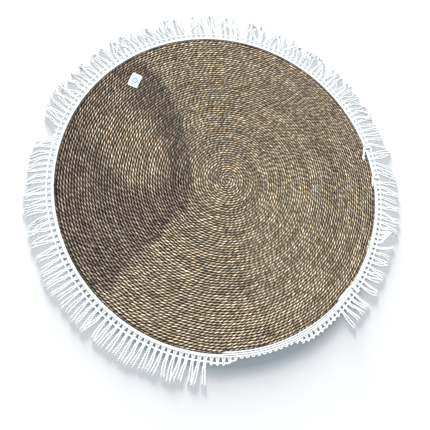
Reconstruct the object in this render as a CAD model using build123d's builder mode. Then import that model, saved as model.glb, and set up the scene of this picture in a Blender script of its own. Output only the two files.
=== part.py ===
from build123d import *
import os
from math import atan2, cos, degrees, radians, sin, sqrt

# A round seat pad: one seagrass cord wound in a flat spiral and sewn turn to turn, with a knotted
# cotton fringe sewn under its rim and a small label sewn on top.
# Origin: centre of the pad on the plane it rests on. +Z up, angles run counterclockwise from +X.

os.makedirs("parts", exist_ok=True)

# Driving dimensions, in mm and degrees
coil_diameter = 400.0
half_turns = 131
first_radius_in_pitches = 0.6
cord_share_of_pitch = 0.955
coil_end_angle = 267.0

cord_sides = 12
thread_sides = 6
thread_diameter = 0.4
thread_clearance = 0.03
seam_stitch_length = 3.2
seam_stitch_diameter = 0.5
seam_stitch_count = 310

heading_inner_radius = 191.0
heading_outer_radius = 203.2
heading_thickness = 1.5
heading_pressed_thickness = 0.75
heading_edge_height = 3.4
piece_gap = 0.05

tassel_count = 190
yarn_diameter = 1.6
yarn_splay = 1.5
tassel_root_gap = 0.5
tassel_length = 24.0
crossbar_diameter = 1.3
knot_diameter = 2.6
knot_length = 2.2
lace_depth = 6.0
crossbar_height = 2.0
leg_thickness = 1.1
leg_half_width_at_heading = 2.4
leg_half_width_at_knot = 0.8

# Tassels that have fallen back onto the top: the knot's angle, and the tip's angle and radius
folded_tassels = [(15.8, 11.5, 190.5), (3.6, 0.5, 196.0), (319.5, 313.0, 195.5)]
fold_radius = 3.0
fold_crest_outside_coil = 1.5
fold_crest_rise = 0.6
fold_tip_drop = 0.4

label_width = 12.6
label_height = 18.4
label_thickness = 0.4
label_place = (-115.0, 127.4)
label_turn = -21.5
label_corner_radius = 0.5
mark_thickness = 0.06
mark_ring_shares = (0.27, 0.17)
mark_bar_shares = (0.5, 0.08)
mark_bar_drop_share = 0.3
corner_stitch_length = 1.8
corner_stitch_width = 0.45
corner_stitch_thickness = 0.35
corner_stitch_insets = (1.3, 1.1)

# The stretch of rim where the tassels are turned under, and the part of it where the lace goes too
tuck_start, tuck_end = 263.0, 310.0
lace_under_start, lace_under_end = 272.0, 290.0

# Sizes that follow from them
coil_radius = coil_diameter / 2
pitches_in_radius = (half_turns - 1) / 2 + first_radius_in_pitches + cord_share_of_pitch / 2
pitch = coil_radius / pitches_in_radius
cord_diameter = pitch * cord_share_of_pitch
first_radius = pitch * first_radius_in_pitches
coil_height = heading_thickness + piece_gap + cord_diameter / 2
coil_top = coil_height + cord_diameter / 2
outer_turn_radius = coil_radius - cord_diameter / 2

thread_reach = (cord_diameter + thread_diameter) / 2 + thread_clearance
thread_rise = sqrt(thread_reach**2 - (pitch / 2) ** 2)

crossbar_radius = heading_outer_radius + lace_depth
tassel_start_radius = crossbar_radius + knot_diameter / 2 + tassel_root_gap
tassel_step = 360 / tassel_count


def tassel_angles(start, end):
    """The directions of the tassels from one angle round to another."""
    every = [number * tassel_step for number in range(tassel_count)]
    return [angle for angle in every if (angle - start) % 360 < (end - start) % 360]


def rim_point(angle, radius, height=0.0):
    """A point given by its direction, its distance from the centre and its height."""
    return (radius * cos(radians(angle)), radius * sin(radians(angle)), height)


def yarn_places(angles, radius, leans):
    """Where each yarn of the tassels starts and which way it points: two side by side in each tassel."""
    places = []
    for angle, lean in zip(angles, leans):
        for side in (-1, 1):
            sideways = side * (yarn_diameter / 2 + piece_gap)
            start_x, start_y = rim_point(angle, radius)[:2]
            turn = angle + lean
            start_x -= sideways * sin(radians(turn))
            start_y += sideways * cos(radians(turn))
            places.append(Location((start_x, start_y), (0, 0, turn + side * yarn_splay)))
    return places


def across_plane(angle, radius, height):
    """An upright plane at a point of the rim, facing along the rim."""
    outward = (cos(radians(angle)), sin(radians(angle)), 0)
    along = (-sin(radians(angle)), cos(radians(angle)), 0)
    return Plane(origin=rim_point(angle, radius, height), x_dir=outward, z_dir=along)


def spiral_plane(height):
    """The spiral's own plane, turned so that its outer end comes where the coil ends."""
    return Plane.XY.offset(height).rotated((0, 0, coil_end_angle - 180))


def draw_half_circles(count, outward):
    """The spiral as half circles on two centres half a pitch apart, each half a pitch larger."""
    for number in range(count):
        centre = (pitch / 2 * (number % 2), 0)
        CenterArc(centre, first_radius + number * pitch / 2 + outward, 180 * (number % 2), 180)


# The seagrass cord, wound from the centre out, one solid from end to end, with many flats round it
with BuildPart() as seagrass_cord_coil:
    with BuildLine(spiral_plane(coil_height)) as cord_path:
        draw_half_circles(half_turns, 0)
    cord_wire = cord_path.wire()
    with BuildSketch(Plane(origin=cord_wire @ 0, z_dir=cord_wire % 0)):
        RegularPolygon(cord_diameter / 2, cord_sides, major_radius=False, rotation=180 / cord_sides)
    sweep(path=cord_wire)
seagrass_cord_coil.part.label = "seagrass_cord_coil"
export_step(seagrass_cord_coil.part, "parts/seagrass_cord_coil.step")


# The two threads of the seam between the turns, one in the groove on top and one in the groove below
with BuildPart() as joining_thread:
    with BuildLine(spiral_plane(coil_height + thread_rise)) as joining_path:
        draw_half_circles(half_turns - 2, pitch / 2)
    joining_wire = joining_path.wire()
    with BuildSketch(Plane(origin=joining_wire @ 0, z_dir=joining_wire % 0)):
        RegularPolygon(thread_diameter / 2, thread_sides)
    sweep(path=joining_wire)
joining_thread.part.label = "joining_thread"
export_step(joining_thread.part, "parts/joining_thread.step")

with BuildPart() as bobbin_thread:
    with BuildLine(spiral_plane(coil_height - thread_rise)) as bobbin_path:
        draw_half_circles(half_turns - 2, pitch / 2)
    bobbin_wire = bobbin_path.wire()
    with BuildSketch(Plane(origin=bobbin_wire @ 0, z_dir=bobbin_wire % 0)):
        RegularPolygon(thread_diameter / 2, thread_sides)
    sweep(path=bobbin_wire)
bobbin_thread.part.label = "bobbin_thread"
export_step(bobbin_thread.part, "parts/bobbin_thread.step")


# The woven heading of the fringe: a flat ring under the rim whose edge stands up against the outer turn,
# pressed thin where the fringe is turned under
with BuildPart() as fringe_heading:
    with BuildSketch(Plane.XY):
        Circle(heading_outer_radius)
        Circle(heading_inner_radius, mode=Mode.SUBTRACT)
    extrude(amount=heading_thickness)
    with BuildSketch(Plane.XY):
        Circle(heading_outer_radius)
        Circle(coil_radius + piece_gap, mode=Mode.SUBTRACT)
    extrude(amount=heading_edge_height)
    with BuildSketch(Plane.XY.offset(heading_pressed_thickness)):
        with BuildLine():
            pressed_edge = CenterArc((0, 0), coil_radius + lace_depth, tuck_start, tuck_end - tuck_start)
            Line(pressed_edge @ 1, (0, 0))
            Line((0, 0), pressed_edge @ 0)
        make_face()
    extrude(amount=heading_thickness - heading_pressed_thickness, mode=Mode.SUBTRACT)
fringe_heading.part.label = "fringe_heading"
export_step(fringe_heading.part, "parts/fringe_heading.step")


# The stitches that hold the heading on, along the crest of the outer turn
with BuildPart() as rim_seam_stitches:
    stitch_height = coil_top + seam_stitch_diameter / 2 + piece_gap
    with Locations((0, 0, stitch_height)):
        with PolarLocations(outer_turn_radius, seam_stitch_count):
            Cylinder(seam_stitch_diameter / 2, seam_stitch_length, rotation=(90, 0, 0))
rim_seam_stitches.part.label = "rim_seam_stitches"
export_step(rim_seam_stitches.part, "parts/rim_seam_stitches.step")


# The lace: yarn legs from the heading to the knots, the cord from knot to knot, and the knots round it
lace_angles = tassel_angles(lace_under_end, lace_under_start)

with BuildPart() as lace_legs:
    leg_length = lace_depth - knot_diameter / 2 - 2 * piece_gap
    leg_taper = leg_half_width_at_heading - leg_half_width_at_knot
    leg_side_angle = degrees(atan2(leg_length, leg_taper))
    leg_middle_radius = heading_outer_radius + piece_gap + leg_length / 2
    with BuildSketch(Plane.XY.offset(crossbar_height - leg_thickness / 2)):
        with Locations(*[Location(rim_point(a, leg_middle_radius), (0, 0, a - 90)) for a in lace_angles]):
            Trapezoid(2 * leg_half_width_at_heading, leg_length, leg_side_angle)
    extrude(amount=leg_thickness)
lace_legs.part.label = "lace_legs"
export_step(lace_legs.part, "parts/lace_legs.step")

with BuildPart() as crossbar_cord:
    with BuildLine(Plane.XY.offset(crossbar_height)) as crossbar_path:
        visible_arc = 360 - (lace_under_end - lace_under_start)
        CenterArc((0, 0), crossbar_radius, lace_under_end, visible_arc)
    with BuildSketch(across_plane(lace_under_end, crossbar_radius, crossbar_height)):
        Circle(crossbar_diameter / 2)
    sweep(path=crossbar_path.wire())
crossbar_cord.part.label = "crossbar_cord"
export_step(crossbar_cord.part, "parts/crossbar_cord.step")

with BuildPart() as tassel_knots:
    with Locations(*[across_plane(a, crossbar_radius, crossbar_height) for a in lace_angles[1:]]):
        Cylinder(knot_diameter / 2, knot_length)
        Cylinder(crossbar_diameter / 2 + piece_gap, knot_length, mode=Mode.SUBTRACT)
tassel_knots.part.label = "tassel_knots"
export_step(tassel_knots.part, "parts/tassel_knots.step")


# The tassels, by the way they lie: name, first and last angle, lean at each end, share of the length
tassel_groups = [
    ("tassels_right", 338.0, 390.0, 6.0, -8.0, 1.08),
    ("tassels_back_right", 30.0, 90.0, -8.0, 0.0, 1.2),
    ("tassels_back_left", 90.0, 150.0, 0.0, -4.0, 1.1),
    ("tassels_left_swept_down", 150.0, 164.0, -4.0, -24.0, 1.05),
    ("tassels_left", 168.0, 205.0, 26.0, 4.0, 0.95),
    ("tassels_front_left", 205.0, 263.0, 3.0, -3.0, 1.05),
    ("tassels_front_right", 310.0, 338.0, 2.0, 6.0, 1.0),
]
for group_name, start, end, lean_start, lean_end, length_share in tassel_groups:
    angles = tassel_angles(start, end)
    shares = [((angle - start) % 360) / (end - start) for angle in angles]
    leans = [lean_start + (lean_end - lean_start) * share for share in shares]
    with BuildPart() as tassels:
        with BuildSketch(Plane.XY.offset(piece_gap)):
            with Locations(*yarn_places(angles, tassel_start_radius, leans)):
                SlotOverall(tassel_length * length_share, yarn_diameter, align=(Align.MIN, Align.CENTER))
        extrude(amount=yarn_diameter)
    tassels.part.label = group_name
    export_step(tassels.part, f"parts/{group_name}.step")

# The tassels turned under: the yarns lie in the pressed part of the heading and go in under the coil
tucked_angles = tassel_angles(tuck_start + 1, tuck_end - 1)
tucked_thickness = heading_thickness - heading_pressed_thickness - 2 * piece_gap
with BuildPart() as tassels_turned_under:
    with BuildSketch(Plane.XY.offset(heading_pressed_thickness + piece_gap)):
        with Locations(*yarn_places(tucked_angles, heading_outer_radius, [180] * len(tucked_angles))):
            SlotOverall(tassel_length, yarn_diameter, align=(Align.MIN, Align.CENTER))
    extrude(amount=tucked_thickness)
tassels_turned_under.part.label = "tassels_turned_under"
export_step(tassels_turned_under.part, "parts/tassels_turned_under.step")

# The tassels that have fallen back over the rim onto the top
folded_height = coil_top + seam_stitch_diameter + yarn_diameter
fold_crest_height = folded_height + fold_crest_rise
yarn_half_step = degrees((yarn_diameter / 2 + piece_gap) / coil_radius)
with BuildPart() as tassels_folded_over:
    for knot_angle, tip_angle, tip_radius in folded_tassels:
        for side in (-yarn_half_step, yarn_half_step):
            with BuildLine() as folded_path:
                FilletPolyline(
                    rim_point(knot_angle + side, crossbar_radius, knot_diameter + yarn_diameter),
                    rim_point(knot_angle + side, coil_radius + fold_crest_outside_coil, fold_crest_height),
                    rim_point(tip_angle + side, tip_radius, folded_height - fold_tip_drop),
                    radius=fold_radius,
                )
            folded_wire = folded_path.wire()
            with BuildSketch(Plane(origin=folded_wire @ 0, z_dir=folded_wire % 0)):
                Circle(yarn_diameter / 2)
            sweep(path=folded_wire)
tassels_folded_over.part.label = "tassels_folded_over"
export_step(tassels_folded_over.part, "parts/tassels_folded_over.step")


# The label, its plain round mark, and the stitches at its corners
label_bottom = coil_top + piece_gap
label_top = label_bottom + label_thickness
with BuildPart() as label:
    with BuildSketch(Plane(origin=(*label_place, label_bottom)).rotated((0, 0, label_turn))):
        RectangleRounded(label_width, label_height, label_corner_radius)
    extrude(amount=label_thickness)
label.part.label = "label"
export_step(label.part, "parts/label.step")

with BuildPart() as label_mark:
    with BuildSketch(Plane(origin=(*label_place, label_top)).rotated((0, 0, label_turn))):
        Circle(label_width * mark_ring_shares[0])
        Circle(label_width * mark_ring_shares[1], mode=Mode.SUBTRACT)
        with Locations((0, -label_height * mark_bar_drop_share)):
            SlotOverall(label_width * mark_bar_shares[0], label_width * mark_bar_shares[1])
    extrude(amount=mark_thickness)
label_mark.part.label = "label_mark"
export_step(label_mark.part, "parts/label_mark.step")

with BuildPart() as label_stitches:
    with BuildSketch(Plane(origin=(*label_place, label_top)).rotated((0, 0, label_turn))):
        stitch_columns = label_width - 2 * corner_stitch_insets[0]
        stitch_rows = label_height - 2 * corner_stitch_insets[1]
        with GridLocations(stitch_columns, stitch_rows, 2, 2):
            SlotOverall(corner_stitch_length, corner_stitch_width)
    extrude(amount=corner_stitch_thickness)
label_stitches.part.label = "label_stitches"
export_step(label_stitches.part, "parts/label_stitches.step")
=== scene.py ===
import bpy
import numpy as np
from collections import namedtuple
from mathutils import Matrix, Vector
from math import cos, degrees, pi, radians, sin, sqrt


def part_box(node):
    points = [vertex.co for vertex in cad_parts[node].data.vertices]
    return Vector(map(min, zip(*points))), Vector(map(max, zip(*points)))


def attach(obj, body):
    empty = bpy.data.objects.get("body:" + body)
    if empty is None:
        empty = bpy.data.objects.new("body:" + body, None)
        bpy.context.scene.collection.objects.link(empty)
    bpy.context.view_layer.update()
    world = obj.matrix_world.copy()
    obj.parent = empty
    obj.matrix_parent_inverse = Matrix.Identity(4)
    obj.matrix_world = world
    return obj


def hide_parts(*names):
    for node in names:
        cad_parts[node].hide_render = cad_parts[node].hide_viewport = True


# A round seat pad of two-ply seagrass cord wound in a flat spiral, with a knotted cotton fringe sewn
# under its rim and a small cloth label sewn on top. Metres, +Z up, angles counterclockwise from +X.

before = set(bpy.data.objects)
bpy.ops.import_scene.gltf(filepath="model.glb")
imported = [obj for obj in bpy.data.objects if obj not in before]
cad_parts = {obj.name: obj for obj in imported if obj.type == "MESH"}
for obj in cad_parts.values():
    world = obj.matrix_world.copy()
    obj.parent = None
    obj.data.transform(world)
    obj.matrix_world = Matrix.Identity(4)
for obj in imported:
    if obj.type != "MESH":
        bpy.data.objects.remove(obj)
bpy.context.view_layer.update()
MM = 0.001
UP = (0, 0, 1)
rng = np.random.default_rng(7)

# The spiral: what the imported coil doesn't say about itself
HALF_TURNS = 131
FIRST_RADIUS_IN_PITCHES = 0.6
CORD_SHARE_OF_PITCH = 0.955
COIL_END = radians(267)

# Sizes read from the frame
coil_low, coil_high = [Vector(corner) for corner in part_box("seagrass_cord_coil")]
heading_low, heading_high = [Vector(corner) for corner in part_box("fringe_heading")]
lace_low, lace_high = [Vector(corner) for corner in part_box("crossbar_cord")]
label_low, label_high = [Vector(corner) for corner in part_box("label")]
coil_top = coil_high.z
cord_diameter = coil_high.z - coil_low.z
cord_height = (coil_high.z + coil_low.z) / 2
pitch = cord_diameter / CORD_SHARE_OF_PITCH
first_radius = pitch * FIRST_RADIUS_IN_PITCHES
coil_radius = first_radius + (HALF_TURNS - 1) * pitch / 2 + cord_diameter / 2
heading_radius = (heading_high.x - heading_low.x) / 2
heading_edge = heading_high.z
knot_height = (lace_high.z + lace_low.z) / 2
lace_radius = lace_high.y - (lace_high.z - lace_low.z) / 2
label_thickness = label_high.z - label_low.z

# The cord's make
CORD_LAY = 11.6 * MM
PLY_OFFSET = 0.70 * MM
PLY_HALF_LENGTH = 0.745 * MM
PLY_HALF_WIDTH = 0.88 * MM
PLY_OPENING = radians(150)
POINTS_PER_PLY = 8
POINTS_PER_BLADE = 4
RING_SPACING = 1.15 * MM
FEWEST_PER_HALF_TURN = 14
TURN_PIECES = 8
WISP_COUNT = 260
WISP_RADIUS = 0.11 * MM

# The grass: blade tints on the 0 to 255 display scale and how common each is
STRAWS = [(255, 235, 204), (248, 225, 192), (255, 243, 218), (242, 220, 186), (228, 202, 168)]
STRAW_SHARES = [0.34, 0.24, 0.18, 0.14, 0.10]
BLADE_LENGTHS = (120 * MM, 420 * MM)
# How much red, green and blue is left in the darker grass, and in the painted shade deep in the grooves
DARK_GRASS = (0.52, 0.52, 0.57)
GROOVE_PAINTED_SHADE = (0.020, 0.012, 0.006)
# Where the painted shade of the grooves begins and ends: up to the cord's crown, past its underside, to its
# sides; and the painted shade in the crease between the plies
CROWN_HEIGHTS = (0.40 * MM, 1.30 * MM)
UNDERSIDE_HEIGHTS = (-0.4 * MM, 0.2 * MM)
SIDE_REACHES = (0.30 * MM, 0.98 * MM)
PLY_GAP_PAINTED_SHADE = 0.05
# Painted shade beside the heading, over the last of the coil before its edge
RIM_PAINTED_SHADE = 0.92
RIM_REACHES = (-2.0 * MM, -0.9 * MM)

# The sewing
SEAM_STITCH = 2.4 * MM
SEAM_SWAY = 0.42 * MM
SEAM_THREAD_RADIUS = 0.22 * MM
RIM_STITCH_COUNT = 310
RIM_STITCH_HALF_LENGTH = 1.6 * MM

# The cotton's make
YARN = 1.6 * MM
YARN_LAY = 5.0 * MM
YARN_RING_SPACING = 0.72 * MM
FIBRE_RADIUS = 0.16 * MM
TASSEL_COUNT = 190
TASSEL_STEP = 2 * pi / TASSEL_COUNT
TASSEL_ANGLES = [number * TASSEL_STEP for number in range(TASSEL_COUNT)]
TASSEL_LENGTH = 24 * MM
TASSEL_POINTS = 7
HEADING_INNER_RADIUS = 191 * MM
HEADING_FLAT = 1.5 * MM
CHAIN_SWING = 0.40 * MM
KNOT_POINTS = 26
KNOT_TURNS = 2.3
# Where the tassels, and in a shorter stretch the lace as well, are turned under the pad
TUCK_START, TUCK_END = radians(263), radians(310)
LACE_UNDER_START, LACE_UNDER_END = radians(272), radians(290)
# A small loop at the heading's edge: place in tassel steps, and mm out and down from the edge
PICOT = [(-0.42, -0.5, 0.6), (-0.25, 1.1, 0.9), (0, 2.1, 1.1), (0.25, 1.1, 0.9), (0.42, -0.5, 0.6)]

# How each stretch of tassels lies: first and last angle, lean at each end, scatter, how many degrees
# neighbours in a clump lean towards each other, length share at each end, and the grey painted at the tips
# as shade
Group = namedtuple("Group", "node start end lean_start lean_end scatter gather long_start long_end grey")
TASSEL_GROUPS = [
    Group("tassels_right", 338, 390, -6, -20, 6, 9, 1.02, 1.22, 0.2),
    Group("tassels_back_right", 30, 90, -10, 2, 13, 6, 1.12, 1.22, 0.7),
    Group("tassels_back_left", 90, 150, 0, 4, 13, 6, 1.22, 0.90, 0.8),
    Group("tassels_left_swept_down", 150, 164, -10, -34, 8, 4, 1.1, 1.0, 0.3),
    Group("tassels_left", 168, 205, 28, 4, 8, 9, 0.92, 1.0, 0.2),
    Group("tassels_front_left", 205, 263, 2, -1, 5, 4.5, 1.04, 1.06, 0.1),
    Group("tassels_front_right", 310, 338, 0, 22, 7, 14, 1.0, 0.98, 0.1),
]
CLUMP_SIZES = [1, 2, 3, 4]
CLUMP_SHARES = [0.15, 0.4, 0.3, 0.15]
# Stretches drawn to one side: first and last angle, and the angle where the tips meet
BUNCHES = [(338, 344.5, 346.5), (5, 10, 3)]
BUNCH_PULL = 8.5
# Tassels fallen back onto the top: angle of the knot, angle of the tips, and their radius in mm
FOLDED_TASSELS = [(15.8, 11.5, 190.5), (3.6, 0.5, 196.0), (319.5, 313.0, 195.5)]

# The label; its mark's sizes are in label widths, and the bar's edges in label heights
LABEL_WIDTH = 12.6 * MM
LABEL_HEIGHT = 18.4 * MM
LABEL_TURN = radians(-21.5)
MARK_RING = (0.15, 0.30)
MARK_BAR_EDGES = (-0.265, -0.335)
MARK_BAR_HALF_LENGTH = 0.27
MARK_HEIGHTS = (-0.02 * MM, 0.05 * MM)
LABEL_THREADS_PER_METRE = 2600

# The outlines of fine strands, one unit in radius
TRIANGLE = np.array([(1, 0), (-0.5, 0.87), (-0.5, -0.87)])
SQUARE = np.array([(1, 0), (0, 1), (-1, 0), (0, -1)])

# Light and camera; the camera's place is in coil radii from the middle of the coil's top
LAMP_COLOUR = (1.0, 0.97, 0.94)
KEY_COLOUR = (1.0, 0.97, 0.93)
FILL_COLOUR = (0.80, 0.90, 1.0, 1)
FILL_STRENGTH = 0.42
FLOOR_REACH = 3.0
CAMERA_PLACE = (-0.456, -0.671, 2.002)
CAMERA_TURN = (0.2219, -0.1804, 0)
CAMERA_LENS = 29.30


def linear(red, green, blue):
    """A colour given on the 0 to 255 display scale, as the renderer's linear values."""
    shares = np.array([red, green, blue]) / 255
    return np.where(shares <= 0.04045, shares / 12.92, ((shares + 0.055) / 1.055) ** 2.4)


SEWING_THREAD = linear(60, 48, 34)
RIM_THREAD = linear(98, 82, 62)
LABEL_THREAD = linear(225, 226, 228)
COTTON = linear(236, 240, 242)
COTTON_SHADE = linear(150, 156, 162)
LABEL_CLOTH = linear(240, 243, 248)
LABEL_PRINT = linear(120, 160, 205)


def polar(angle, radius, height):
    """A point from its angle round the pad, its radius and its height."""
    return np.array([radius * cos(angle), radius * sin(angle), height])


def between(angle, start, end):
    """Whether an angle lies on the way round from one angle to another."""
    return (angle - start) % (2 * pi) < (end - start) % (2 * pi)


def mix(first, last, share):
    """The value a share of the way from the first to the last."""
    return first + (last - first) * share


def ramp(values, low, high):
    """0 below low, 1 above high, smooth between."""
    share = np.clip((values - low) / (high - low), 0, 1)
    return share * share * (3 - 2 * share)


def wander(places, spacing, columns=1):
    """Smooth random values from -1 to 1 along a line, changing over about one spacing."""
    steps = np.asarray(places) / spacing
    first = np.floor(steps).astype(int)
    first -= first.min()
    table = rng.uniform(-1, 1, (first.max() + 2, columns))
    share = (steps - np.floor(steps))[:, None]
    share = share * share * (3 - 2 * share)
    return table[first] * (1 - share) + table[first + 1] * share


def waves_over(flat, count, shortest, longest):
    """A gentle field over the pad, about from -1 to 1: plane waves with random directions."""
    total = np.zeros(len(flat))
    for _ in range(count):
        direction, phase = rng.uniform(0, 2 * pi, 2)
        rate = 2 * pi / rng.uniform(shortest, longest)
        total += np.sin(rate * (flat[:, 0] * cos(direction) + flat[:, 1] * sin(direction)) + phase)
    return total / sqrt(count)


# ---------------- meshes


class Bundle:
    """Strands with the same number of points round them, gathered into one mesh."""

    def __init__(self, ring):
        self.ring = ring
        self.points = []
        self.tints = []
        self.grains = []
        self.quads = []
        self.caps = []
        self.count = 0

    def add(self, rings, tints, grains):
        """One strand: its rings of points, and each point's colour and place along and round it."""
        many, ring = rings.shape[:2]
        here = self.count + np.arange(many - 1)[:, None] * ring + np.arange(ring)
        after = self.count + np.arange(many - 1)[:, None] * ring + (np.arange(ring) + 1) % ring
        self.quads.append(np.stack([here, here + ring, after + ring, after], axis=-1).reshape(-1, 4))
        self.caps.append(self.count + np.arange(ring))
        self.caps.append(self.count + (many - 1) * ring + np.arange(ring)[::-1])
        self.points.append(rings.reshape(-1, 3))
        self.tints.append(np.broadcast_to(tints, rings.shape).reshape(-1, 3))
        self.grains.append(grains.reshape(-1, 3))
        self.count += many * ring

    def build(self, name, material, slot, *nodes):
        """All the strands as one object, each closed by a flat face at both ends."""
        faces = [(np.concatenate(self.quads), 4), (np.stack(self.caps), self.ring)]
        tints, grains = np.concatenate(self.tints), np.concatenate(self.grains)
        return piece(name, np.concatenate(self.points), faces, material, nodes, tints, grains)


def piece(name, points, faces, material, nodes, tints=None, grains=None):
    """A mesh object from arrays, riding on the body, with its finish and the nodes that it stands for."""
    mesh = bpy.data.meshes.new(name)
    corners = np.concatenate([block.reshape(-1) for block, size in faces]).astype(np.int32)
    sizes = np.concatenate([np.full(len(block), size, np.int32) for block, size in faces])
    mesh.vertices.add(len(points))
    mesh.vertices.foreach_set("co", np.ascontiguousarray(points, np.float32).ravel())
    mesh.loops.add(len(corners))
    mesh.loops.foreach_set("vertex_index", corners)
    mesh.polygons.add(len(sizes))
    mesh.polygons.foreach_set("loop_start", np.concatenate([[0], np.cumsum(sizes)[:-1]]).astype(np.int32))
    mesh.update(calc_edges=True)
    mesh.validate()
    mesh.polygons.foreach_set("use_smooth", np.ones(len(mesh.polygons), bool))
    if tints is not None:
        colours = np.concatenate([tints, np.ones((len(tints), 1))], axis=1)
        layer = mesh.color_attributes.new("tint", "FLOAT_COLOR", "POINT")
        layer.data.foreach_set("color", colours.astype(np.float32).ravel())
    if grains is not None:
        layer = mesh.attributes.new("grain", "FLOAT_VECTOR", "POINT")
        layer.data.foreach_set("vector", grains.astype(np.float32).ravel())
    mesh.materials.append(material)
    made = bpy.data.objects.new(name, mesh)
    bpy.context.collection.objects.link(made)
    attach(made, "root")
    if nodes:
        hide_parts(*nodes)
    return made


def lobes(points_per_ply, offset, half_length, half_width):
    """The outline of two plies lying against each other, and each point's angle round its ply."""
    angles = np.linspace(-PLY_OPENING, PLY_OPENING, points_per_ply)
    first = np.stack([offset + half_length * np.cos(angles), half_width * np.sin(angles)], axis=1)
    return np.concatenate([first, -first]), np.concatenate([angles, angles])


def turn_outline(outline, phase):
    """The outline turned by each phase: sideways and upward parts."""
    wide, high = outline[:, 0], outline[:, 1]
    cosine, sine = np.cos(phase)[:, None], np.sin(phase)[:, None]
    return np.stack([wide * cosine - high * sine, wide * sine + high * cosine], axis=-1)


def twisted(line, across, lay, outline, start_phase=0.0, scale=1.0, flatten=1.0):
    """Rings of the outline along a line, turning once in each lay; across is never along the line."""
    steps = np.linalg.norm(np.diff(line, axis=0), axis=1)
    places = np.concatenate([[0], np.cumsum(steps)])
    along = np.gradient(line, axis=0)
    along /= np.linalg.norm(along, axis=1)[:, None]
    side = np.cross(across, along)
    side /= np.linalg.norm(side, axis=1)[:, None]
    up = np.cross(along, side)
    phase = start_phase + 2 * pi * places / lay
    turned = turn_outline(outline, phase) * np.reshape(scale, (-1, 1, 1))
    rings = line[:, None] + turned[..., :1] * side[:, None] + turned[..., 1:] * up[:, None] * flatten
    return rings, places


def upright(middle, out, section):
    """Rings that stand across a flat line: each point's place outward from it and up."""
    outward = np.column_stack([out, np.zeros(len(out))])
    rings = middle[:, None] + section[..., :1] * outward[:, None]
    rings[..., 2] += section[..., 1]
    return rings


def resample(corners, spacing):
    """A smooth line through a few points, as evenly spaced points."""
    corners = np.asarray(corners, float)
    ends = np.concatenate([[2 * corners[0] - corners[1]], corners, [2 * corners[-1] - corners[-2]]])
    steps_per_span = 8
    share = np.linspace(0, 1, steps_per_span + 1)[:-1, None]
    runs = []
    for before, here, after, beyond in zip(ends, ends[1:], ends[2:], ends[3:]):
        bend = 2 * here + (after - before) * share
        bend += (2 * before - 5 * here + 4 * after - beyond) * share**2
        bend += (3 * here - before - 3 * after + beyond) * share**3
        runs.append(bend / 2)
    line = np.concatenate(runs + [corners[-1:]])
    lengths = np.concatenate([[0], np.cumsum(np.linalg.norm(np.diff(line, axis=0), axis=1))])
    even = np.linspace(0, lengths[-1], max(4, int(lengths[-1] / spacing) + 1))
    return np.stack([np.interp(even, lengths, line[:, axis]) for axis in range(3)], axis=1)


def grain_of(rings, places):
    """Each point's place along the strand in millimetres, from a random start, and round it."""
    grains = np.empty(rings.shape)
    angles = np.linspace(0, 2 * pi, rings.shape[1], endpoint=False)
    grains[..., 0] = places[:, None] / MM + rng.uniform(0, 500)
    grains[..., 1] = np.cos(angles)
    grains[..., 2] = np.sin(angles)
    return grains


def grid_quads(index):
    """The four-sided faces between the points of a grid."""
    return np.stack([index[:-1, :-1], index[:-1, 1:], index[1:, 1:], index[1:, :-1]], -1).reshape(-1, 4)


# ---------------- materials


def new_material(name):
    """An empty material, its shader and the functions that add and link its nodes."""
    material = bpy.data.materials.new(name)
    material.use_nodes = True
    tree = material.node_tree
    shader = tree.nodes["Principled BSDF"]

    def add(kind, **settings):
        """A node with its settings: its own properties, or its inputs, with _ for a space."""
        node = tree.nodes.new(kind)
        for setting, value in settings.items():
            if hasattr(node, setting):
                setattr(node, setting, value)
            else:
                node.inputs[setting.replace("_", " ")].default_value = value
        return node

    return material, shader, add, tree.links.new


def fibre_material(name, stretch, depth, low, high, roughness, bump, sheen=0.0, specular=0.35):
    """Strands coloured by their own tints, with streaks that run along them."""
    material, shader, add, link = new_material(name)
    tint = add("ShaderNodeAttribute", attribute_name="tint")
    grain = add("ShaderNodeAttribute", attribute_name="grain")
    mapping = add("ShaderNodeMapping", Scale=stretch)
    streaks = add("ShaderNodeTexNoise", Scale=1.0, Detail=3.0, Roughness=0.6)
    link(grain.outputs["Vector"], mapping.inputs["Vector"])
    link(mapping.outputs["Vector"], streaks.inputs["Vector"])
    shades = add("ShaderNodeMapRange", clamp=True, From_Min=0.3, From_Max=0.7, To_Min=low, To_Max=high)
    link(streaks.outputs["Fac"], shades.inputs["Value"])
    mixed = add("ShaderNodeVectorMath", operation="SCALE")
    link(tint.outputs["Color"], mixed.inputs[0])
    link(shades.outputs["Result"], mixed.inputs["Scale"])
    link(mixed.outputs["Vector"], shader.inputs["Base Color"])
    gloss = add("ShaderNodeMapRange", To_Min=roughness[0], To_Max=roughness[1])
    link(streaks.outputs["Fac"], gloss.inputs["Value"])
    link(gloss.outputs["Result"], shader.inputs["Roughness"])
    ridges = add("ShaderNodeBump", Strength=bump, Distance=depth)
    link(streaks.outputs["Fac"], ridges.inputs["Height"])
    link(ridges.outputs["Normal"], shader.inputs["Normal"])
    shader.inputs["Specular IOR Level"].default_value = specular
    shader.inputs["Sheen Weight"].default_value = sheen
    return material


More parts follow.
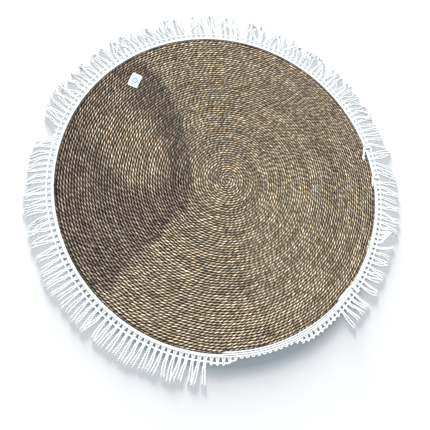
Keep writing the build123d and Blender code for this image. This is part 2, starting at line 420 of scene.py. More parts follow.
def cloth_material(name, colour, contrast):
    """A fine plain weave, its threads along and across the label."""
    material, shader, add, link = new_material(name)
    place = add("ShaderNodeTexCoord")
    mapping = add("ShaderNodeMapping", vector_type="TEXTURE", Rotation=(0, 0, LABEL_TURN))
    link(place.outputs["Object"], mapping.inputs["Vector"])
    weave = add("ShaderNodeMath", operation="MAXIMUM")
    for number, direction in enumerate(("X", "Y")):
        wave = add("ShaderNodeTexWave", bands_direction=direction,
                   Scale=LABEL_THREADS_PER_METRE / 20, Distortion=0.4)
        link(mapping.outputs["Vector"], wave.inputs["Vector"])
        link(wave.outputs["Fac"], weave.inputs[number])
    shades = add("ShaderNodeMix", data_type="RGBA", A=(*(colour * (1 - contrast)), 1), B=(*colour, 1))
    link(weave.outputs["Value"], shades.inputs["Factor"])
    link(shades.outputs["Result"], shader.inputs["Base Color"])
    raised = add("ShaderNodeBump", Strength=0.5, Distance=0.05 * MM)
    link(weave.outputs["Value"], raised.inputs["Height"])
    link(raised.outputs["Normal"], shader.inputs["Normal"])
    shader.inputs["Roughness"].default_value = 0.85
    shader.inputs["Sheen Weight"].default_value = 0.2
    return material


def floor_material():
    """The floor's plain pale matt finish."""
    material, shader, _, _ = new_material("pale_floor")
    shader.inputs["Base Color"].default_value = (0.93, 0.93, 0.93, 1)
    shader.inputs["Roughness"].default_value = 0.9
    shader.inputs["Specular IOR Level"].default_value = 0.1
    return material


# ---------------- the coil


def spiral(half_turns, spacing, outward):
    """Points along the spiral of half circles: centre line, outward direction, length so far."""
    lines, outs, places = [], [], []
    length = 0.0
    for number in range(half_turns):
        radius = first_radius + number * pitch / 2
        many = max(FEWEST_PER_HALF_TURN, int(pi * radius / spacing))
        share = np.arange(many) / many
        angle = pi * (number % 2) + pi * share
        out = np.stack([np.cos(angle), np.sin(angle)], axis=1)
        centre = np.array([pitch / 2 * (number % 2), 0])
        lines.append(centre + out * (radius + outward))
        outs.append(out)
        places.append(length + pi * (radius + outward) * share)
        length += pi * (radius + outward)
    turn = COIL_END - pi
    rotate = np.array([[cos(turn), sin(turn)], [-sin(turn), cos(turn)]])
    return np.concatenate(lines) @ rotate, np.concatenate(outs) @ rotate, np.concatenate(places)


def coil_edge(angles):
    """The radius of the coil's outer edge: the last half turn's arc, and the one before it elsewhere."""
    start = COIL_END - pi
    offset = np.asarray(angles) - start
    arc = coil_radius - pitch / 2
    before = pitch / 2 * np.cos(offset) + np.sqrt(arc**2 - (pitch / 2 * np.sin(offset)) ** 2)
    return np.where(offset % (2 * pi) < pi, coil_radius, before)


def oval(x, y, centre, radii):
    """How far points are from the middle of an oval, in its own radii."""
    return np.hypot((x - centre[0]) / radii[0], (y - centre[1]) / radii[1])


def dark_grass(flat):
    """How far the cord is of the darker, greyer grass: a large patch on the left with a pale middle."""
    x, y = flat[:, 0] / coil_radius, flat[:, 1] / coil_radius
    wobble = 0.02 * waves_over(flat, 6, 20 * MM, 60 * MM)
    patch = 1 - ramp(oval(x, y, (-0.72, 0.02), (0.49, 0.82)) + wobble, 0.94, 1.06)
    patch *= ramp(y - x + wobble, 0.03, 0.11)
    slanted = x + 0.25 * (y - 0.2)
    middle = 1 - ramp(oval(slanted, y, (-0.57, 0.2), (0.19, 0.27)) + 2 * wobble, 0.7, 1.25)
    shoulder = 1 - ramp(oval(x, y, (-0.74, 0.45), (0.16, 0.25)) + wobble, 0.6, 1.3)
    return patch * (1 - np.maximum(0.9 * middle, 0.45 * shoulder))


def straw_tints(flat, places):
    """Each point's colour: blades of grass of several tints, worked in one after another in each ply."""
    palette = np.array([linear(*tint) for tint in STRAWS])
    columns = 2 * POINTS_PER_PLY
    more_than_enough = int(places[-1] / (200 * MM))
    tints = np.empty((len(flat), columns, 3))
    for first in range(0, columns, POINTS_PER_BLADE):
        lengths = rng.uniform(*BLADE_LENGTHS, more_than_enough)
        chosen = palette[rng.choice(len(palette), len(lengths), p=STRAW_SHARES)]
        chosen *= rng.uniform(0.82, 1.16, (len(lengths), 1))
        blade = np.minimum(np.searchsorted(np.cumsum(lengths), places), len(lengths) - 1)
        tints[:, first : first + POINTS_PER_BLADE] = chosen[blade][:, None]
    tints *= 1 + 0.25 * wander(places, 9 * MM, columns)[..., None]
    tints *= 1 + 0.52 * np.repeat(wander(places, 6 * MM, 2), POINTS_PER_PLY, axis=1)[..., None]
    tints *= 1 + 0.10 * wander(places, 60 * MM)[..., None]
    # Painted shade: the grass darkened by up to a tenth towards the right side
    tints *= 1 - 0.10 * ramp(flat[:, 0], 0.2 * coil_radius, 0.8 * coil_radius)[:, None, None]
    tints *= 1 - dark_grass(flat)[:, None, None] * (1 - np.array(DARK_GRASS))
    return tints


def cord_middle(flat, out, places):
    """The cord's middle line, which strays a little from its even spiral."""
    astray = 0.28 * MM * waves_over(flat, 10, 25 * MM, 70 * MM)
    astray += 0.10 * MM * wander(places, 14 * MM)[:, 0]
    rise = 0.16 * MM * waves_over(flat, 10, 30 * MM, 90 * MM)
    rise += 0.10 * MM * wander(places, 17 * MM)[:, 0]
    return np.column_stack([flat + out * astray[:, None], cord_height + rise])


def cord_section(outline, places):
    """The two plies' outline at each ring: unevenly twisted, of uneven size and tapered at both ends."""
    phase = 2 * pi * places / CORD_LAY + 4.0 * wander(places, 110 * MM)[:, 0]
    phase += 0.9 * wander(places, 16 * MM)[:, 0]
    plies = np.repeat(wander(places, 12 * MM, 2), POINTS_PER_PLY, axis=1)
    blades = wander(places, 6 * MM, 2 * POINTS_PER_PLY)
    size = 1 + 0.13 * plies + 0.06 * blades
    ends = ramp(places, 0, 3 * MM) * ramp(places[-1] - places, 0, 14 * MM)
    return turn_outline(outline, phase) * (size * (0.25 + 0.75 * ends[:, None]))[..., None]


def light_reaching(section):
    """Painted shade: how much red, green and blue is left at each point of the cord, full on its crown and
    darker down in the grooves beside it, on its underside and in the crease between its plies.
    """
    crown = PLY_GAP_PAINTED_SHADE + (1 - PLY_GAP_PAINTED_SHADE) * ramp(section[..., 1], *CROWN_HEIGHTS)
    crown *= 1 - ramp(np.abs(section[..., 0]), *SIDE_REACHES)
    crown *= ramp(section[..., 1], *UNDERSIDE_HEIGHTS)
    return np.array(GROOVE_PAINTED_SHADE) * (1 - crown[..., None]) + crown[..., None]


def seagrass_coil(material):
    """The two-ply cord in mesh, cut into runs of turns that each stay under the size limit."""
    flat, out, places = spiral(HALF_TURNS, RING_SPACING, 0)
    outline, round_ply = lobes(POINTS_PER_PLY, PLY_OFFSET, PLY_HALF_LENGTH, PLY_HALF_WIDTH)
    middle = cord_middle(flat, out, places)
    section = cord_section(outline, places)
    rings = upright(middle, out, section)
    tints = straw_tints(flat, places) * light_reaching(section)
    # Painted shade: the coil darkened over its last stretch before its edge
    reach = np.hypot(rings[..., 0], rings[..., 1]) - coil_edge(np.arctan2(out[:, 1], out[:, 0]))[:, None]
    tints *= 1 - RIM_PAINTED_SHADE * ramp(reach, *RIM_REACHES)[..., None]
    grains = np.empty(rings.shape)
    grains[..., 0] = places[:, None] / MM
    grains[..., 1] = np.cos(round_ply)
    grains[..., 2] = np.sin(round_ply) + np.repeat([0, 9], POINTS_PER_PLY)
    cuts = np.linspace(0, len(rings) - 1, TURN_PIECES + 1).astype(int)
    for number, (start, end) in enumerate(zip(cuts, cuts[1:])):
        bundle = Bundle(2 * POINTS_PER_PLY)
        bundle.add(rings[start : end + 1], tints[start : end + 1], grains[start : end + 1])
        bundle.build(f"seagrass_turns_{number + 1}", material, "seagrass", "seagrass_cord_coil")


def straw_wisps(material):
    """Short ends of grass that stand a little off the cord."""
    bundle = Bundle(len(SQUARE))
    for _ in range(WISP_COUNT):
        radius = coil_radius * sqrt(rng.uniform(0.01, 0.96))
        angle = rng.uniform(0, 2 * pi)
        direction = angle + pi / 2 + rng.normal(0, 0.35)
        length = rng.uniform(3, 8) * MM
        start = polar(angle, radius, coil_top - 0.25 * MM)
        step = polar(direction, length / 3, 0)
        lift = rng.uniform(0.2, 0.9) * MM
        bend = polar(angle, rng.normal(0, 0.4) * MM, 0)
        corners = [start, start + step + (0, 0, lift), start + 2 * step + (0, 0, lift) + bend]
        corners.append(start + 3 * step + (0, 0, 0.6 * lift) + 3 * bend)
        line = resample(corners, 1.2 * MM)
        thin = np.linspace(1, 0.35, len(line))
        rings, places = twisted(line, UP, 1.0, WISP_RADIUS * SQUARE, scale=thin)
        tint = linear(*STRAWS[rng.integers(0, 3)]) * rng.uniform(0.9, 1.2)
        bundle.add(rings, tint, grain_of(rings, places))
    bundle.build("straw_wisps", material, "seagrass")


def seam_thread(name, material, node):
    """The thread in the groove, stitched from side to side between the turns."""
    low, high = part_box(node)
    height = (low[2] + high[2]) / 2
    flat, out, places = spiral(HALF_TURNS - 2, SEAM_STITCH, pitch / 2)
    sway = SEAM_SWAY * np.where(np.arange(len(places)) % 2, 1, -1)
    sway += 0.12 * MM * wander(places, 5 * MM)[:, 0]
    rise = 0.18 * MM * wander(places, 4 * MM)[:, 0]
    line = np.column_stack([flat + out * sway[:, None], height + rise])
    rings = upright(line, out, SEAM_THREAD_RADIUS * TRIANGLE)
    bundle = Bundle(len(TRIANGLE))
    tints = SEWING_THREAD * (1 + 0.25 * wander(places, 8 * MM))[..., None]
    bundle.add(rings, tints, grain_of(rings, places))
    bundle.build(name, material, "sewing_thread", node)


def rim_stitches(material):
    """The stitches that hold the heading on: short arcs over the crest of the outer turn."""
    low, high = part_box("rim_seam_stitches")
    height = (low[2] + high[2]) / 2
    outline, _ = lobes(4, 0.10 * MM, 0.11 * MM, 0.14 * MM)
    bundle = Bundle(len(outline))
    radius = coil_radius - cord_diameter / 2
    for number in range(RIM_STITCH_COUNT):
        middle = 2 * pi * (number + rng.normal(0, 0.08)) / RIM_STITCH_COUNT
        reach = (RIM_STITCH_HALF_LENGTH + rng.normal(0, 0.15) * MM) / radius
        corners = []
        for share in (-1, -0.7, 0, 0.7, 1):
            sway = radius + rng.normal(0, 0.06) * MM
            drop = 0.75 * MM * abs(share) ** 3
            corners.append(polar(middle + share * reach, sway, height - drop))
        line = resample(corners, 0.55 * MM)
        rings, places = twisted(line, UP, 1.6 * MM, outline)
        bundle.add(rings, RIM_THREAD * rng.uniform(0.7, 1.3), grain_of(rings, places))
    bundle.build("rim_stitches", material, "sewing_thread", "rim_seam_stitches")


# ---------------- the fringe

YARN_OUTLINE, _ = lobes(5, 0.17 * YARN, 0.34 * YARN, 0.46 * YARN)


def cotton_tints(places, grey):
    """Near white, mixed towards grey by a share that wanders a little along the yarn; the tassels' grey
    tips are painted shade.
    """
    greying = np.clip(grey + 0.06 * wander(places, 5 * MM)[:, 0], 0, 1)[:, None, None]
    return COTTON * (1 - greying) + COTTON_SHADE * greying


def yarn(bundle, corners, size=1.0, grey=0.03, flatten=1.0):
    """One twisted cotton yarn along a smooth line; grey is a number, or a function of the length so far."""
    line = resample(corners, YARN_RING_SPACING)
    phase = rng.uniform(0, 2 * pi)
    rings, places = twisted(line, UP, YARN_LAY, YARN_OUTLINE, phase, size, flatten)
    greys = grey(places) if callable(grey) else grey
    bundle.add(rings, cotton_tints(places, greys), grain_of(rings, places))
    return line


def pressed_share(angles):
    """1 where the heading is pressed thin over the tucked tassels."""
    return ramp(angles - TUCK_START, -0.02, 0.02) * ramp(TUCK_END - angles, -0.02, 0.02)


def heading_rings(angles, shares):
    """The band's rings: its ribbed top from the inner edge to the outer, then its underside back."""
    radii = HEADING_INNER_RADIUS + shares * (heading_radius - HEADING_INNER_RADIUS)
    ribs = 0.5 + 0.5 * np.cos(np.arange(len(angles))[:, None] * pi / 2 + shares[None] * 5 * pi)
    thick = HEADING_FLAT * (1 - 0.5 * pressed_share(angles))[:, None]
    edge = np.sqrt(np.clip(1 - (2 * shares - 1) ** 10, 0, 1))[None]
    turned_up = ramp(radii[None] - coil_edge(angles)[:, None], -0.4 * MM, 0.9 * MM)
    rise = (heading_edge - 0.5 * MM - HEADING_FLAT) * turned_up
    top = thick * (0.5 + 0.5 * edge) + rise * (0.4 + 0.6 * edge) - 0.16 * MM * ribs
    bottom = thick * (0.5 - 0.5 * edge) + 0.12 * MM * ribs[:, ::-1] + 0.35 * rise
    flat_x, flat_y = radii * np.cos(angles)[:, None], radii * np.sin(angles)[:, None]
    ring_top = np.stack([flat_x, flat_y, top], -1)
    ring_low = np.stack([flat_x, flat_y, bottom], -1)[:, ::-1]
    return np.concatenate([ring_top, ring_low[:, 1:-1]], axis=1), radii


def heading_band(material):
    """The woven heading: a ribbed band in a ring under the rim, its edge turned up against the coil."""
    around, across = TASSEL_COUNT * 8, 16
    angles = np.arange(around) * 2 * pi / around
    rings, radii = heading_rings(angles, np.linspace(0, 1, across))
    many, ring = rings.shape[:2]
    here = np.arange(many)[:, None] * ring + np.arange(ring)
    beside = np.arange(many)[:, None] * ring + (np.arange(ring) + 1) % ring
    ahead, ahead_beside = np.roll(here, -1, axis=0), np.roll(beside, -1, axis=0)
    quads = np.stack([here, ahead, ahead_beside, beside], -1).reshape(-1, 4)[:, ::-1]
    tints = np.broadcast_to(COTTON, rings.shape) * (0.9 + 0.1 * rng.uniform(0, 1, (many, ring, 1)))
    # Painted shade: the band's top darkened where it runs in under the coil
    under_coil_shade = 1 - ramp(radii[None] - coil_edge(angles)[:, None], -2.0 * MM, -0.8 * MM)
    tints[:, :across] *= 1 - 0.93 * under_coil_shade[..., None]
    grains = grain_of(rings, angles * heading_radius)
    return piece("heading_band", rings.reshape(-1, 3), [(quads, 4)], material,
                 ["fringe_heading"], tints.reshape(-1, 3), grains.reshape(-1, 3))


def heading_rows(material):
    """Rows of chain along the heading's edge, each of two yarns that wind round each other."""
    bundle = Bundle(len(YARN_OUTLINE))
    many = int(2 * pi * heading_radius / YARN_RING_SPACING)
    angles = np.linspace(0, 2 * pi, many)
    beside_coil = coil_edge(angles)
    outer = np.full(many, heading_radius - 0.55 * MM)
    rows = [
        (beside_coil + 0.80 * MM, heading_edge + 0.35 * MM, 1),
        (outer, heading_edge - 0.15 * MM, -1),
        ((beside_coil + outer) / 2 + 0.3 * MM, heading_edge + 0.10 * MM, 1),
    ]
    for radii, height, hand in rows:
        for start in (0, pi):
            turn = start + hand * angles * TASSEL_COUNT * 1.5
            out = radii + CHAIN_SWING * np.cos(turn)
            lift = height + CHAIN_SWING * np.sin(turn)
            line = np.column_stack([out * np.cos(angles), out * np.sin(angles), lift])
            rings, places = twisted(line, UP, YARN_LAY, YARN_OUTLINE, scale=0.86)
            bundle.add(rings, cotton_tints(places, 0.0), grain_of(rings, places))
    return bundle.build("heading_chain_rows", material, "cotton_trim")


def has_lace(angle):
    """Whether the lace lies out at this angle, and isn't turned under."""
    return not between(angle, LACE_UNDER_START, LACE_UNDER_END)


def lace_sag(angle):
    """How far out the lace lies off its circle: drawn in at both ends of its gap, and hanging near them."""
    before = degrees(LACE_UNDER_START - angle) % 360
    after = degrees(angle - LACE_UNDER_END) % 360
    hang = 0.6 * MM if between(angle, LACE_UNDER_END, radians(303)) else 0
    drawn_in = sum(1 - ramp(beside, 0.5, 5.0) for beside in (before, after))
    return hang + 1.0 * MM * (0 < before < 9) - 5.0 * MM * drawn_in


def leg_yarns(bundle, angle):
    """Two pairs of yarns, which run from the heading together at a knot."""
    sag = lace_sag(angle)
    for side in (-1, 1):
        for doubled in (0, 1):
            foot = angle + side * (0.34 - 0.22 * doubled) * TASSEL_STEP
            wrist = angle + side * (0.12 - 0.08 * doubled) * TASSEL_STEP
            middle = (foot + wrist) / 2 + rng.normal(0, 0.015) * TASSEL_STEP
            corners = [
                polar(foot, heading_radius - 0.7 * MM, heading_edge - 0.3 * MM),
                polar(middle, (heading_radius + lace_radius) / 2 - 0.6 * MM, knot_height + 0.4 * MM),
                polar(wrist, lace_radius - 0.2 * MM + sag, knot_height + 0.1 * MM),
            ]
            yarn(bundle, corners, size=0.74)


def arch_yarns(bundle, angle):
    """Two yarns that arch inwards from one knot to the next, one inside the other."""
    here, beyond = lace_sag(angle), lace_sag(angle + TASSEL_STEP)
    for layer in (0, 1):
        inward = (0.7 + 0.6 * layer) * MM
        spots = [
            (0, lace_radius + 1.5 * MM + here, 0.5),
            (0.25, lace_radius - 0.6 * inward + here, 0.35),
            (0.5, lace_radius - inward + here, 0.1),
            (0.75, lace_radius - 0.6 * inward + here, 0.35),
            (1, lace_radius + 1.5 * MM + beyond, 0.5),
        ]
        corners = [polar(angle + step * TASSEL_STEP, radius, knot_height + rise * MM)
                   for step, radius, rise in spots]
        yarn(bundle, corners, size=0.95)


def picots(bundle):
    """Small loops along the heading's edge, where the lace is turned under."""
    for angle in TASSEL_ANGLES:
        if has_lace(angle):
            continue
        corners = [polar(angle + step * TASSEL_STEP, heading_radius + out * MM, heading_edge - down * MM)
                   for step, out, down in PICOT]
        yarn(bundle, corners, size=1.05)


def lace_net(material):
    """The legs from the heading to each knot, the arches from knot to knot, and the small loops."""
    legs, arches = Bundle(len(YARN_OUTLINE)), Bundle(len(YARN_OUTLINE))
    for angle in TASSEL_ANGLES:
        if has_lace(angle):
            leg_yarns(legs, angle)
            if has_lace(angle + TASSEL_STEP):
                arch_yarns(arches, angle)
    picots(legs)
    return [legs.build("lace_leg_yarns", material, "cotton_trim", "lace_legs"),
            arches.build("lace_arches", material, "cotton_trim", "crossbar_cord")]


def knots(material):
    """Each knot: a yarn wound just over twice round the tassel's neck."""
    bundle = Bundle(len(YARN_OUTLINE))
    for angle in TASSEL_ANGLES:
        if not has_lace(angle) or not has_lace(angle - TASSEL_STEP):
            continue
        out = polar(angle, 1, 0)
        middle = polar(angle, lace_radius + 0.35 * MM + lace_sag(angle), knot_height)
        winding = np.linspace(0, KNOT_TURNS * 2 * pi, KNOT_POINTS) + rng.uniform(0, 2 * pi)
        line = middle + np.outer(np.linspace(-1, 1, KNOT_POINTS) * 0.75 * MM, out)
        line += np.outer(np.cos(winding) * 1.05 * MM, polar(angle + pi / 2, 1, 0))
        line += np.outer(np.sin(winding) * 0.82 * MM, UP)
        rings, places = twisted(line, out, YARN_LAY, YARN_OUTLINE, scale=0.72)
        bundle.add(rings, cotton_tints(places, 0.05), grain_of(rings, places))
    return bundle.build("fringe_knots", material, "cotton_trim", "tassel_knots")


def frayed_end(bundle, tip, direction, grey):
    """The yarn's loose fibres beyond its twist."""
    for _ in range(5):
        turn = direction + rng.normal(0, 0.32)
        length = rng.uniform(1.2, 2.8) * MM
        step = polar(turn, length / 2, 0)
        lift = np.array([0, 0, rng.uniform(-0.15, 0.35) * MM])
        side = rng.normal(0, 0.18) * MM * np.array([-sin(direction), cos(direction), 0])
        corners = [tip - step * 0.6 + side, tip + step + side + lift]
        corners.append(tip + 2 * step + side * 2 + 1.5 * lift)
        line = resample(corners, 0.8 * MM)
        thin = np.linspace(1, 0.5, len(line))
        rings, places = twisted(line, UP, 1.0, FIBRE_RADIUS * TRIANGLE, scale=thin)
        rings[..., 2] = np.maximum(rings[..., 2], 0.05 * MM)
        # The fibres take the grey of the tip, which is painted shade
        bundle.add(rings, cotton_tints(places, grey), grain_of(rings, places))


def tassel_yarn(bundle, ends, angle, lean, length, side, grey, lift, bends):
    """One loose yarn from its knot out over the floor, bending into its lean."""
    shares = np.linspace(0, 1, TASSEL_POINTS)
    curl, wave, late = bends
    directions = angle + lean * (0.45 + 0.75 * shares) + curl * np.sin(pi * shares) + late * shares**2
    directions += wave * np.sin(2 * pi * shares)
    directions += side * 0.06 * (1 - shares)
    start = polar(angle, lace_radius + 0.5 * MM, 0) + 0.5 * YARN * side * polar(angle + pi / 2, 1, 0)
    steps = np.column_stack([np.cos(directions), np.sin(directions)]) * length / (TASSEL_POINTS - 1)
    flat = start[:2] + np.concatenate([[[0, 0]], np.cumsum(steps[:-1], axis=0)])
    size = rng.uniform(1.28, 1.5)
    fallen = ramp(shares, 0, 0.3)
    height = knot_height * (1 - fallen) + 0.44 * size * YARN * fallen
    height += lift * np.sin(pi * ramp(shares, 0.1, 1.0))
    corners = np.column_stack([flat, height + rng.uniform(0, 0.25) * MM])

    def greying(places):
        """Greyer towards the tip: painted shade, over a slightly grey base."""
        return 0.16 + grey * ramp(places / length, 0.72, 1.0)

    line = yarn(bundle, corners, size=size, grey=greying)
    frayed_end(ends, line[-1], directions[-1], grey)


def clump_places():
    """Each tassel's place in the clump that it lies in: over 0 in its first half, under 0 in its last."""
    places = np.zeros(TASSEL_COUNT)
    first = 0
    while first < TASSEL_COUNT:
        many = int(rng.choice(CLUMP_SIZES, p=CLUMP_SHARES))
        run = np.arange(first, min(first + many, TASSEL_COUNT))
        places[run] = 0.5 * (many - 1) - (run - first)
        first += many
    return places


def is_folded(angle):
    """Whether a tassel is one of those that lie back over the rim."""
    for knot, _, _ in FOLDED_TASSELS:
        away = (degrees(angle) - knot + 180) % 360 - 180
        if abs(away) < degrees(TASSEL_STEP) / 2:
            return True
    return False


def tassel(bundle, ends, group, angle, clump):
    """One tassel's two yarns, which lie as their group does."""
    share = ((angle - radians(group.start)) % (2 * pi)) / radians(group.end - group.start)
    tangle = max(0, group.scatter - 5)
    lean = mix(group.lean_start, group.lean_end, share) + rng.normal(0, 0.6 * group.scatter)
    lean += clump * group.gather
    for first, last, tip in BUNCHES:
        if between(angle, radians(first), radians(last)):
            lean = BUNCH_PULL * (tip - degrees(angle)) + rng.normal(0, 4)
    reach = mix(group.long_start, group.long_end, share) * rng.uniform(0.87, 1.03)
    bends = group.scatter * rng.normal(0, (0.020, 0.014, 0.034))
    for side in (-1, 1):
        length = TASSEL_LENGTH * reach * rng.uniform(0.94, 1.02)
        apart = radians(lean + rng.normal(0, 1.0 + 0.25 * tangle))
        lift = rng.choice([0, 0.6, 1.6]) * MM * rng.uniform(0.5, 1)
        # Painted shade at the tips, of uneven depth
        tip_grey = group.grey * rng.choice([0.1, 0.5, 1.3])
        own_bends = bends + tangle * rng.normal(0, 0.02, 3)
        tassel_yarn(bundle, ends, angle, apart, length, side, tip_grey, lift, own_bends)


def tassels(material):
    """Every tassel that lies out, group by group."""
    made = []
    clumps = clump_places()
    for group in TASSEL_GROUPS:
        bundle, ends = Bundle(len(YARN_OUTLINE)), Bundle(len(TRIANGLE))
        for angle, clump in zip(TASSEL_ANGLES, clumps):
            if between(angle, radians(group.start), radians(group.end)) and not is_folded(angle):
                tassel(bundle, ends, group, angle, clump)
        made.append(bundle.build(f"{group.node}_yarns", material, "cotton_trim", group.node))
        made.append(ends.build(f"{group.node}_frayed_ends", material, "cotton_trim"))
    return made


def folded_over(material):
    """The tassels that have fallen back onto the top."""
    bundle, ends = Bundle(len(YARN_OUTLINE)), Bundle(len(TRIANGLE))
    for knot, tip, tip_radius in FOLDED_TASSELS:
        halfway = (coil_radius + tip_radius * MM) / 2 - 1.5 * MM
        for side in (-1, 1):
            beside = side * 0.55 * YARN / coil_radius
            corners = [
                polar(radians(knot) + beside, lace_radius + 0.4 * MM, knot_height + 1.0 * MM),
                polar(radians(knot) + beside, coil_radius + 4.5 * MM, coil_top + 0.9 * MM),
                polar(radians(knot) + beside * 1.4, coil_radius - 2.0 * MM, coil_top + 1.35 * MM),
                polar(radians(mix(knot, tip, 0.55)) + beside, halfway, coil_top + 1.1 * MM),
                polar(radians(tip) + beside * 2, tip_radius * MM, coil_top + 0.75 * MM),
            ]
            line = yarn(bundle, corners, size=1.3, grey=0.02)
            run = line[-1] - line[-3]
            frayed_end(ends, line[-1], np.arctan2(run[1], run[0]), 0.1)
    bundle.build("folded_over_yarns", material, "cotton_trim", "tassels_folded_over")
    ends.build("folded_over_frayed_ends", material, "cotton_trim")


def turned_under(material):
    """The tassels that go in under the pad, pressed flat between the heading and the coil."""
    low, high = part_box("tassels_turned_under")
    height, flatten = (low[2] + high[2]) / 2, (high[2] - low[2]) / YARN
    bundle = Bundle(len(YARN_OUTLINE))
    for angle in TASSEL_ANGLES:
        if not between(angle, TUCK_START + radians(1), TUCK_END - radians(1)):
            continue
        for side in (-1, 1):
            sideways = side * (YARN / 2 + 0.05 * MM)
            corners = []
            for share in (0, 0.33, 0.66, 1):
                radius = heading_radius - 0.2 * MM - share * (TASSEL_LENGTH - 0.4 * MM)
                turn = angle + sideways * (1 + 0.8 * share) / radius + rng.normal(0, 0.0012)
                corners.append(polar(turn, radius, height))
            yarn(bundle, corners, size=0.92, grey=0.06, flatten=flatten)
    bundle.build("turned_under_yarns", material, "cotton_trim", "tassels_turned_under")


# ---------------- the label


def label_place(u, v, height):
    """A point of the label from its own width and height directions, each from -0.5 to 0.5."""
    middle = (label_low + label_high) / 2
    x, y = u * LABEL_WIDTH, v * LABEL_HEIGHT
    across = cos(LABEL_TURN) * x - sin(LABEL_TURN) * y
    along = sin(LABEL_TURN) * x + cos(LABEL_TURN) * y
    return (middle.x + across, middle.y + along, height)


def label_under(u, v):
    """The height of the cloth's underside: held at its corners, a little raised along its free edges."""
    curl = 0.9 * MM * ramp(abs(u), 0.25, 0.5) * (1 - ramp(abs(v), 0.2, 0.44))
    return label_low.z + curl + 0.25 * MM * cos(5 * u) * cos(4 * v)


def label_cloth(material):
    """The woven label: a thin sheet with rounded corners and a folded edge."""
    columns, rows = 33, 45
    top, low = [], []
    for row in range(rows):
        v = row / (rows - 1) - 0.5
        for column in range(columns):
            u = column / (columns - 1) - 0.5
            inset = 1 - 0.03 * ramp(abs(u), 0.40, 0.5) * ramp(abs(v), 0.42, 0.5)
            height = label_under(u, v)
            hem = 0.12 * MM * ramp(max(abs(u), abs(v)), 0.42, 0.47)
            weave = 0.015 * MM * (-1) ** (row + column)
            top.append(label_place(u * inset, v * inset, height + label_thickness * 0.75 + hem + weave))
            low.append(label_place(u * inset, v * inset, height))
    index = np.arange(rows * columns).reshape(rows, columns)
    under = index + rows * columns
    loop = np.concatenate([index[0, :-1], index[:-1, -1], index[-1, :0:-1], index[:0:-1, 0]])
    loop_under = loop + rows * columns
    faces = [grid_quads(index), grid_quads(under)[:, [0, 3, 2, 1]]]
    faces.append(np.stack([loop, loop_under, np.roll(loop_under, -1), np.roll(loop, -1)], -1))
    return piece("label_cloth", np.array(top + low), [(np.concatenate(faces), 4)], material,
                 ["label"])


def mark_strip(points, faces, pairs):
    """A thin band that follows the cloth, from pairs of points either side of its line."""
    base = len(points)
    for u, v in (spot for pair in pairs for spot in pair):
        cloth_top = label_under(u, v) + label_thickness * 0.75
        points.extend(label_place(u, v, cloth_top + height) for height in MARK_HEIGHTS)
    last = base + 4 * (len(pairs) - 1)
    for here in range(base, last, 4):
        for first, second in ((1, 3), (3, 2), (2, 0), (0, 1)):
            faces.append((here + first, here + 4 + first, here + 4 + second, here + second))
    faces.append((base, base + 1, base + 3, base + 2))
    faces.append((last, last + 2, last + 3, last + 1))


def label_print(material):
    """The plain mark woven into the label: a ring with a short bar below it."""
    points, faces = [], []
    shape = LABEL_WIDTH / LABEL_HEIGHT
    turns = np.linspace(0, 2 * pi, 49)
    ring = [[(radius * cos(turn), radius * sin(turn) * shape) for radius in MARK_RING] for turn in turns]
    mark_strip(points, faces, ring)
    bar_places = np.linspace(-MARK_BAR_HALF_LENGTH, MARK_BAR_HALF_LENGTH, 12)
    mark_strip(points, faces, [[(u, v) for v in MARK_BAR_EDGES] for u in bar_places])
    return piece("label_woven_mark", np.array(points), [(np.array(faces), 4)], material,
                 ["label_mark"])


def label_sewing(material):
    """Two small stitches across each corner of the label."""
    outline, _ = lobes(4, 0.12 * MM, 0.11 * MM, 0.15 * MM)
    bundle = Bundle(len(outline))
    for u_side in (-1, 1):
        for v_side in (-1, 1):
            for beside in (0, 0.06):
                u, v = u_side * 0.39, v_side * (0.437 - beside)
                corners = []
                for share in (-1, -0.6, 0, 0.6, 1):
                    spot = u + share * 0.072
                    rise = label_under(spot, v) + 0.62 * MM - 0.4 * MM * abs(share) ** 3
                    corners.append(label_place(spot, v + 0.006 * share, rise))
                line = resample(corners, 0.3 * MM)
                rings, places = twisted(line, UP, 1.2 * MM, outline)
                bundle.add(rings, LABEL_THREAD, grain_of(rings, places))
    return bundle.build("label_corner_stitches", material, "sewing_thread", "label_stitches")


# ---------------- stage, light and camera


def stage_floor():
    """A plain square of floor under the pad."""
    mesh = bpy.data.meshes.new("floor")
    corners = [(x * FLOOR_REACH, y * FLOOR_REACH, 0) for x, y in ((-1, -1), (1, -1), (1, 1), (-1, 1))]
    mesh.from_pydata(corners, [], [(0, 1, 2, 3)])
    mesh.materials.append(floor_material())
    floor = bpy.data.objects.new("floor", mesh)
    bpy.context.collection.objects.link(floor)
    return floor


def linked(name, included, excluded):
    """A list of objects for a light to act on, or to leave alone."""
    group = bpy.data.collections.new(name)
    for thing in (*included, *excluded):
        group.objects.link(thing)
    for entry in group.collection_objects[len(included):]:
        entry.light_linking.link_state = "EXCLUDE"
    return group


def sun(name, azimuth, elevation, strength, spread, colour, lit=(), unlit=(), no_shadow=()):
    """A soft distant light, which may light only some objects, or all but some, or pass some by."""
    lamp = bpy.data.lights.new(name, "SUN")
    lamp.energy = strength
    lamp.angle = radians(spread)
    lamp.color = colour
    made = bpy.data.objects.new(name, lamp)
    rise = radians(elevation)
    towards = Vector(polar(radians(azimuth), cos(rise), sin(rise)))
    made.rotation_euler = towards.to_track_quat("Z", "Y").to_euler()
    bpy.context.collection.objects.link(made)
    if lit or unlit:
        made.light_linking.receiver_collection = linked(f"{name}_receivers", lit, unlit)
    if no_shadow:
        made.light_linking.blocker_collection = linked(f"{name}_blockers", (), no_shadow)


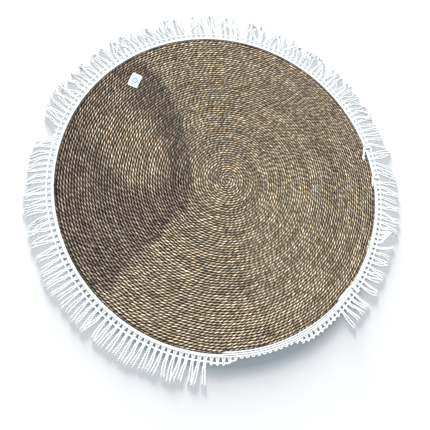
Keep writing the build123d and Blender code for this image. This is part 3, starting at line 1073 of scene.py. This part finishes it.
def studio(floor, loose_yarns):
    """A soft key light on the pad, two low ones across the floor and a pale blue fill all round."""
    world = bpy.data.worlds.new("studio_fill")
    world.use_nodes = True
    background = world.node_tree.nodes["Background"]
    background.inputs["Color"].default_value = FILL_COLOUR
    background.inputs["Strength"].default_value = FILL_STRENGTH
    bpy.context.scene.world = world
    sun("key", azimuth=104, elevation=64, strength=4.8, spread=6, colour=KEY_COLOUR, unlit=[floor])
    sun("floor_light", azimuth=97, elevation=4.5, strength=16.5, spread=17, colour=LAMP_COLOUR,
        lit=[floor])
    sun("floor_glow", azimuth=97, elevation=7, strength=8.0, spread=26, colour=LAMP_COLOUR,
        lit=[floor], no_shadow=loose_yarns)


def camera():
    """Above the pad and a little to its lower left, nearly straight down."""
    lens = bpy.data.cameras.new("camera")
    lens.sensor_width = 36
    lens.lens = CAMERA_LENS
    made = bpy.data.objects.new("camera", lens)
    made.location = Vector(CAMERA_PLACE) * coil_radius + Vector((0, 0, coil_top))
    made.rotation_mode = "AXIS_ANGLE"
    turn = Vector(CAMERA_TURN)
    made.rotation_axis_angle = (turn.length, *turn.normalized())
    bpy.context.collection.objects.link(made)
    bpy.context.scene.camera = made
    bpy.context.scene.view_settings.view_transform = "Standard"


camera()
seagrass = fibre_material("seagrass", stretch=(0.22, 2.2, 2.2), depth=0.12 * MM, low=0.62, high=1.28,
                          roughness=(0.5, 0.8), bump=0.6, specular=0.08)
seam = fibre_material("seam_thread", stretch=(1.2, 1.5, 1.5), depth=0.05 * MM, low=0.7, high=1.2,
                      roughness=(0.7, 0.9), bump=0.4)
cotton = fibre_material("cotton", stretch=(1.6, 2.6, 2.6), depth=0.06 * MM, low=0.95, high=1.03,
                        roughness=(0.8, 0.95), bump=0.35, sheen=0.25)

seagrass_coil(seagrass)
straw_wisps(seagrass)
seam_thread("joining_thread_stitches", seam, "joining_thread")
seam_thread("bobbin_thread_stitches", seam, "bobbin_thread")
rim_stitches(seam)

heading = heading_band(cotton)
rows = heading_rows(cotton)
loose_yarns = [*lace_net(cotton), knots(cotton), *tassels(cotton)]
folded_over(cotton)
turned_under(cotton)

cloth = label_cloth(cloth_material("label_weave", LABEL_CLOTH, contrast=0.12))
mark = label_print(cloth_material("label_mark_weave", LABEL_PRINT, contrast=0.2))
sewing = label_sewing(cotton)

studio(stage_floor(), loose_yarns)
